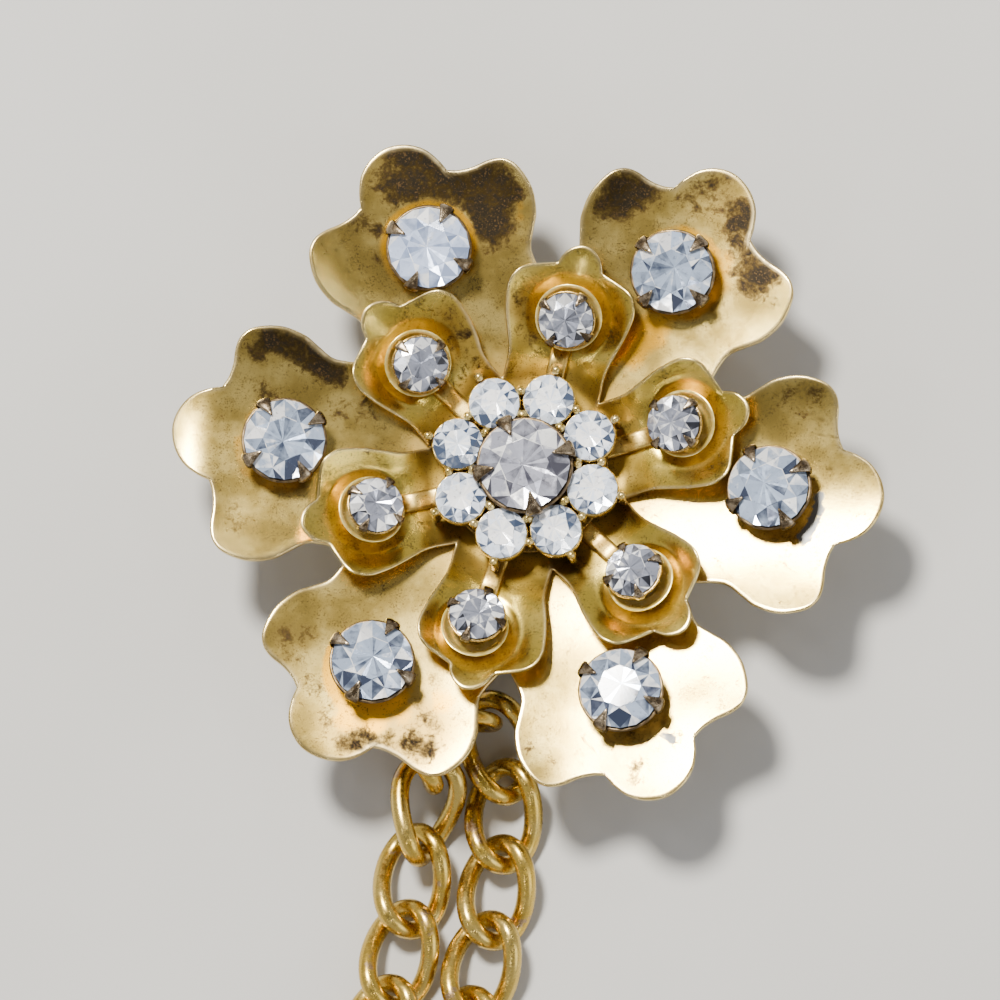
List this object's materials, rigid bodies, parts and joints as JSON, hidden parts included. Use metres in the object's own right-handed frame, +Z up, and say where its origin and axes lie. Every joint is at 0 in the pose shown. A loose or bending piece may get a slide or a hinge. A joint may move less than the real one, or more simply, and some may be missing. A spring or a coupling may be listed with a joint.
{
  "type": "sweater clip",
  "caption": "Two-layer metal flower set with round clear stones, on a spring clip, with two short strands of twisted oval links for a sweater chain.",
  "frame": {"origin": "where the flower's axis meets the surface that the clip rests on", "axes": "+Z up through the flower's centre, +Y along the clip away from the chain, +X to the right seen from above"},
  "size_m": [0.0451, 0.0602, 0.0111],
  "materials": {
    "petal_gold": "satin, tarnished",
    "bright_gold": "polished",
    "chain_gold": "polished, worn",
    "dark_settings": "blackened",
    "large_stones": "polished",
    "small_stones": "polished",
    "cluster_stones": "polished",
    "spring_steel": "gold washed, dull"
  },
  "bodies": {
    "root": {"back_clip": "spring_steel", "centre_rivet": "bright_gold", "outer_petals": "petal_gold", "inner_petals": "petal_gold", "spoke_star": "bright_gold", "cluster_setting": "bright_gold", "centre_setting": "dark_settings", "centre_stone": "large_stones", "jump_ring": "chain_gold", "big_setting_1": "dark_settings", "big_setting_2": "dark_settings", "big_setting_3": "dark_settings", "big_setting_4": "dark_settings", "big_setting_5": "dark_settings", "big_setting_6": "dark_settings", "big_stone_1": "large_stones", "big_stone_2": "large_stones", "big_stone_3": "large_stones", "big_stone_4": "large_stones", "big_stone_5": "large_stones", "big_stone_6": "large_stones", "small_setting_1": "dark_settings", "small_setting_2": "dark_settings", "small_setting_3": "dark_settings", "small_setting_4": "dark_settings", "small_setting_5": "dark_settings", "small_setting_6": "dark_settings", "small_stone_1": "small_stones", "small_stone_2": "small_stones", "small_stone_3": "small_stones", "small_stone_4": "small_stones", "small_stone_5": "small_stones", "small_stone_6": "small_stones", "cluster_stone_1": "cluster_stones", "cluster_stone_2": "cluster_stones", "cluster_stone_3": "cluster_stones", "cluster_stone_4": "cluster_stones", "cluster_stone_5": "cluster_stones", "cluster_stone_6": "cluster_stones", "cluster_stone_7": "cluster_stones", "cluster_stone_8": "cluster_stones", "left_link_1": "chain_gold", "left_link_2": "chain_gold", "left_link_3": "chain_gold", "left_link_4": "chain_gold", "left_link_5": "chain_gold", "right_link_1": "chain_gold", "right_link_2": "chain_gold", "right_link_3": "chain_gold", "right_link_4": "chain_gold", "right_link_5": "chain_gold"}
  },
  "joints": []
}
